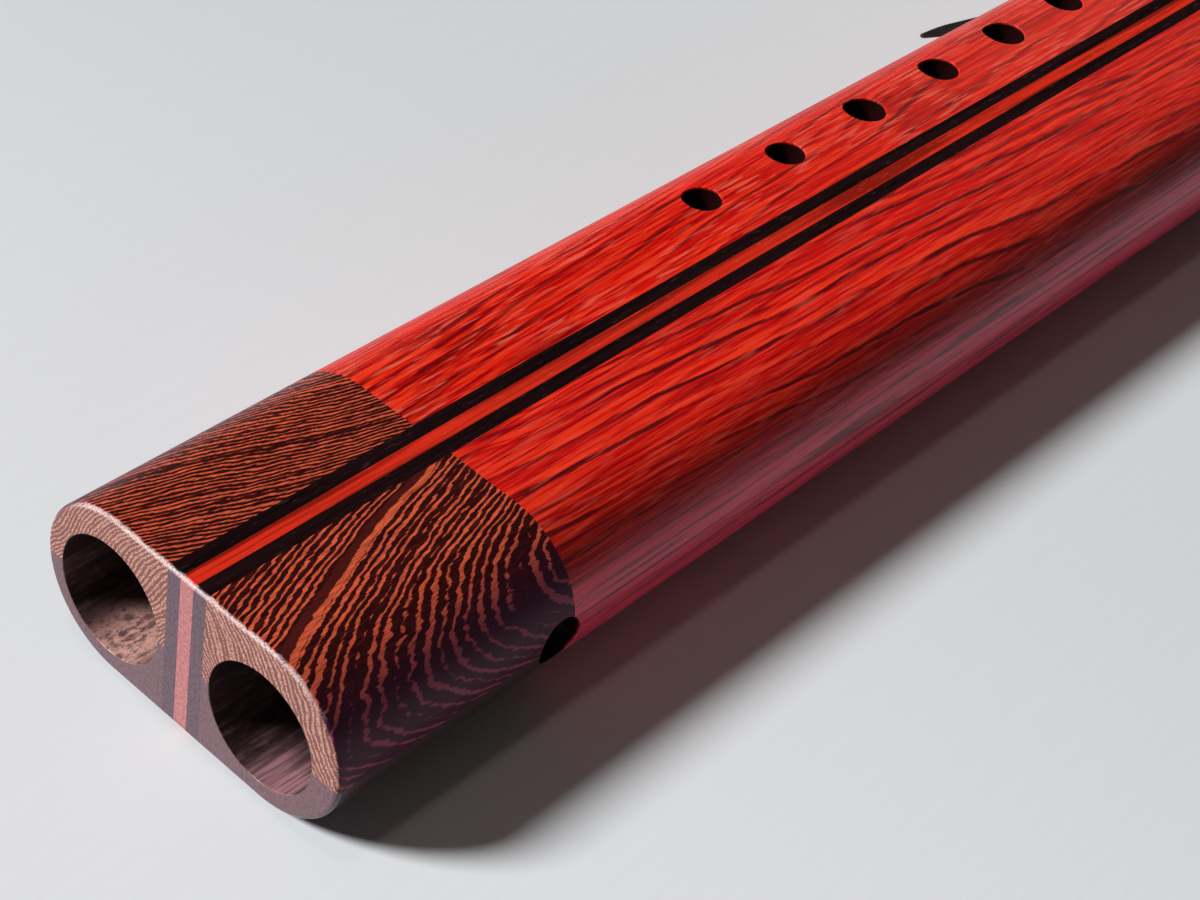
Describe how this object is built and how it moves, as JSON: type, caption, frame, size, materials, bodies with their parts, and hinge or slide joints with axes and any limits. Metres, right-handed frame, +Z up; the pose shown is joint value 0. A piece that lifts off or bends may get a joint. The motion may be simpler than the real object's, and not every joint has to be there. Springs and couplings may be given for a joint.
{
  "type": "native american flute",
  "caption": "Double-bore wooden flute with a striped laminated body, finger holes on the melody side, and a sliding block tied over the flues with a leather lace.",
  "frame": {"origin": "on the plane that the flute lies on, under the middle of its length and width, measured without the knot and tails of the lace", "axes": "+X along the flute from the foot to the mouth end, +Y towards the melody side, +Z up through the finger holes"},
  "size_m": [0.56, 0.0895, 0.0538],
  "materials": {
    "red_wood": "red-orange hardwood with dark streaks under satin lacquer",
    "striped_wood": "near-black brown wood with fine tan wavy stripes under satin lacquer",
    "brown_wood": "dark purple-brown wood under satin lacquer",
    "black_strip": "black wood strip under satin lacquer",
    "red_strip": "orange-red wood strip under satin lacquer",
    "leather": "black leather lace"
  },
  "bodies": {
    "flute": {"upper_foot_block_melody": "striped_wood", "upper_board_melody": "red_wood", "upper_head_block_melody": "striped_wood", "upper_black_strip_melody": "black_strip", "upper_foot_block_drone": "striped_wood", "upper_board_drone": "red_wood", "upper_head_block_drone": "striped_wood", "upper_black_strip_drone": "black_strip", "upper_red_strip": "red_strip", "lower_foot_block_melody": "brown_wood", "lower_board_melody": "red_wood", "lower_head_block_melody": "brown_wood", "lower_black_strip_melody": "black_strip", "lower_foot_block_drone": "brown_wood", "lower_board_drone": "red_wood", "lower_head_block_drone": "brown_wood", "lower_black_strip_drone": "black_strip", "lower_red_strip": "red_strip", "lace_winding": "leather", "lace_knot": "leather", "lace_tail_to_foot": "leather", "lace_tail_to_head": "leather"},
    "block": {"block": "striped_wood"}
  },
  "joints": [
    {"name": "block_slide", "type": "slide", "parent": "flute", "child": "block", "axis": [1, 0, 0], "range_m": [-0.002, 0.004]}
  ]
}
